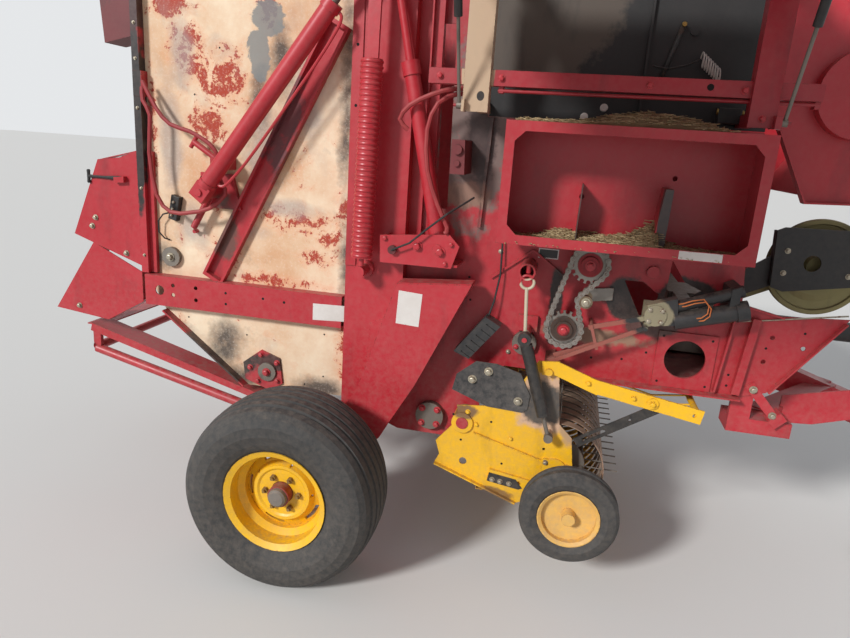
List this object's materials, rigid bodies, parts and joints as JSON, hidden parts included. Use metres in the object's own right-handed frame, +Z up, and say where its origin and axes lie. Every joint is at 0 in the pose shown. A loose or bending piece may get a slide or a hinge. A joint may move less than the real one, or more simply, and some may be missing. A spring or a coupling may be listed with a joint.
{
  "type": "round baler",
  "caption": "Trailed round baler with a hinged tailgate, spring-tensioned chamber, open twine box under a raised side shield, raised tined pickup, gauge wheels and front jack.",
  "frame": {"origin": "middle of the footprint at ground level, at rest with the right shield raised", "axes": "+X forward to the hitch, +Y to the machine's left, +Z up"},
  "size_m": [4.175, 3.4922, 2.6],
  "materials": {
    "red_paint": "satin",
    "dark_red_paint": "satin",
    "yellow_paint": "satin",
    "burnt_paint": "matte",
    "worn_steel": "worn",
    "dark_steel": "satin",
    "tyre_rubber": "matte",
    "black_plastic": "matte",
    "black_rubber": "matte",
    "red_rubber": "satin"
  },
  "bodies": {
    "chassis": {"side_sheets": "red_paint", "bulkheads": "red_paint", "cross_tubes": "dark_red_paint", "axle": "red_paint", "frame_rolls": "worn_steel", "tension_springs": "red_paint", "density_cylinders": "red_paint", "chain_drive": "worn_steel", "twine_box": "red_paint", "twine_actuator": "black_plastic", "controller_box": "black_plastic", "hydraulic_block": "dark_steel", "frame_hoses": "red_rubber", "wiring": "black_rubber", "drawbar": "red_paint", "hitch_clevis": "worn_steel", "gearbox": "worn_steel", "pto_holder": "dark_steel", "drive_pulley": "worn_steel", "hood": "dark_red_paint", "inner_boards": "dark_steel", "door_frame": "red_paint"},
    "wheel_right": {"tyre_r": "tyre_rubber", "wheel_r": "yellow_paint", "hub_r": "red_paint"},
    "wheel_left": {"tyre_l": "tyre_rubber", "wheel_l": "yellow_paint", "hub_l": "red_paint"},
    "tailgate": {"tailgate_sheets": "burnt_paint", "tailgate_frame": "red_paint", "tailgate_rolls": "worn_steel", "rear_wings": "red_paint", "rear_lamps": "dark_red_paint", "tailgate_cover": "dark_red_paint", "gate_hoses": "red_rubber"},
    "gate_cylinders": {"gate_barrels": "red_paint", "oil_lines": "red_paint"},
    "gate_cylinder_rods": {"gate_rods": "worn_steel"},
    "pickup": {"pickup_frame": "yellow_paint", "pickup_bands": "yellow_paint", "pickup_flaps": "black_rubber"},
    "reel": {"pickup_reel": "worn_steel"},
    "crop_guard": {"windguard": "yellow_paint", "guard_struts": "dark_steel"},
    "lift_spring_pair": {"lift_springs": "dark_steel"},
    "lift_rod_pair": {"lift_rods": "worn_steel"},
    "gauge_right": {"gauge_tyre_r": "tyre_rubber", "gauge_wheel_r": "yellow_paint"},
    "gauge_left": {"gauge_tyre_l": "tyre_rubber", "gauge_wheel_l": "yellow_paint"},
    "jack": {"jack_leg": "worn_steel"},
    "pto": {"pto_shaft": "black_plastic"},
    "pto_slider": {"pto_inner": "black_plastic"},
    "shield_right": {"door_r": "dark_red_paint"},
    "shield_left": {"door_l": "dark_red_paint"},
    "struts_low_right": {"strut_rods_r": "worn_steel"},
    "struts_top_right": {"strut_barrels_r": "dark_steel"},
    "struts_low_left": {"strut_rods_l": "worn_steel"},
    "struts_top_left": {"strut_barrels_l": "dark_steel"},
    "ramp": {"bale_ramp": "red_paint"}
  },
  "joints": [
    {"name": "wheel_right_spin", "type": "hinge", "parent": "chassis", "child": "wheel_right", "pos_m": [-0.7125, -0.51939, 0.3935], "axis": [0, 1, 0], "continuous": true},
    {"name": "wheel_left_spin", "type": "hinge", "parent": "chassis", "child": "wheel_left", "pos_m": [-0.7125, 1.57461, 0.3935], "axis": [0, 1, 0], "continuous": true},
    {"name": "tailgate_lift", "type": "hinge", "parent": "chassis", "child": "tailgate", "pos_m": [-0.7325, 0.52761, 2.54], "axis": [0, 1, 0], "range_deg": [0, 60]},
    {"name": "gate_cylinder_tilt", "type": "hinge", "parent": "tailgate", "child": "gate_cylinders", "pos_m": [-1.2475, 0.52761, 1.495], "axis": [0, 1, 0], "range_deg": [-2, 1]},
    {"name": "gate_cylinder_stroke", "type": "slide", "parent": "gate_cylinders", "child": "gate_cylinder_rods", "axis": [0.6015, 0, 0.7989], "range_m": [0, 0.24]},
    {"name": "pickup_lift", "type": "hinge", "parent": "chassis", "child": "pickup", "pos_m": [-0.0725, 0.52761, 0.64], "axis": [0, 1, 0], "range_deg": [0, 22]},
    {"name": "reel_spin", "type": "hinge", "parent": "pickup", "child": "reel", "pos_m": [0.3225, 0.52761, 0.49], "axis": [0, 1, 0], "continuous": true},
    {"name": "crop_guard_tilt", "type": "hinge", "parent": "pickup", "child": "crop_guard", "pos_m": [0.2565, 0.52761, 0.916], "axis": [0, 1, 0], "range_deg": [0, 25]},
    {"name": "lift_spring_tilt", "type": "hinge", "parent": "chassis", "child": "lift_spring_pair", "pos_m": [0.1495, 0.52761, 1.05], "axis": [0, 1, 0], "range_deg": [0, 8]},
    {"name": "lift_spring_stretch", "type": "slide", "parent": "lift_spring_pair", "child": "lift_rod_pair", "axis": [0.3205, 0, -0.9472], "range_m": [0, 0.13]},
    {"name": "gauge_right_spin", "type": "hinge", "parent": "pickup", "child": "gauge_right", "pos_m": [0.3975, -0.33239, 0.37], "axis": [0, 1, 0], "continuous": true},
    {"name": "gauge_left_spin", "type": "hinge", "parent": "pickup", "child": "gauge_left", "pos_m": [0.3975, 1.38761, 0.37], "axis": [0, 1, 0], "continuous": true},
    {"name": "jack_stroke", "type": "slide", "parent": "chassis", "child": "jack", "axis": [0, 0, 1], "range_m": [0, 0.35]},
    {"name": "pto_spin", "type": "hinge", "parent": "chassis", "child": "pto", "pos_m": [1.0475, 0.52761, 1.04], "axis": [1, 0, 0], "continuous": true},
    {"name": "pto_telescope", "type": "slide", "parent": "pto", "child": "pto_slider", "axis": [1, 0, 0], "range_m": [0, 0.2]},
    {"name": "shield_right_swing", "type": "hinge", "parent": "chassis", "child": "shield_right", "pos_m": [0.2875, -0.48239, 2.44], "axis": [1, 0, 0], "range_deg": [0, 75]},
    {"name": "shield_left_swing", "type": "hinge", "parent": "chassis", "child": "shield_left", "pos_m": [0.2875, 1.53761, 2.44], "axis": [1, 0, 0], "range_deg": [0, 75]},
    {"name": "strut_right_tilt", "type": "hinge", "parent": "chassis", "child": "struts_low_right", "pos_m": [0.2875, -0.37739, 1.89], "axis": [1, 0, 0], "range_deg": [-9, 2]},
    {"name": "strut_right_stroke", "type": "slide", "parent": "struts_low_right", "child": "struts_top_right", "axis": [0, -0.4598, 0.888], "range_m": [-0.22, 0.01]},
    {"name": "strut_left_tilt", "type": "hinge", "parent": "chassis", "child": "struts_low_left", "pos_m": [0.2875, 1.43261, 1.89], "axis": [1, 0, 0], "range_deg": [-12, 2]},
    {"name": "strut_left_stroke", "type": "slide", "parent": "struts_low_left", "child": "struts_top_left", "axis": [0, 0.3348, 0.9423], "range_m": [-0.01, 0.2]},
    {"name": "ramp_swing", "type": "hinge", "parent": "chassis", "child": "ramp", "pos_m": [-0.8275, 0.52761, 0.405], "axis": [0, 1, 0], "range_deg": [-25, 0], "stiffness_Nm_per_rad": 450, "springref_deg": 85.94}
  ],
  "couplings": [
    {"joint": "gate_cylinder_tilt", "follows": "tailgate_lift", "ratio": -0.019},
    {"joint": "gate_cylinder_stroke", "follows": "tailgate_lift", "m_per_rad": 0.22643},
    {"joint": "lift_spring_tilt", "follows": "pickup_lift", "ratio": 0.293},
    {"joint": "lift_spring_stretch", "follows": "pickup_lift", "m_per_rad": 0.3268},
    {"joint": "strut_right_tilt", "follows": "shield_right_swing", "ratio": -0.098},
    {"joint": "strut_right_stroke", "follows": "shield_right_swing", "m_per_rad": -0.1525},
    {"joint": "strut_left_tilt", "follows": "shield_left_swing", "ratio": -0.139},
    {"joint": "strut_left_stroke", "follows": "shield_left_swing", "m_per_rad": 0.14244}
  ]
}
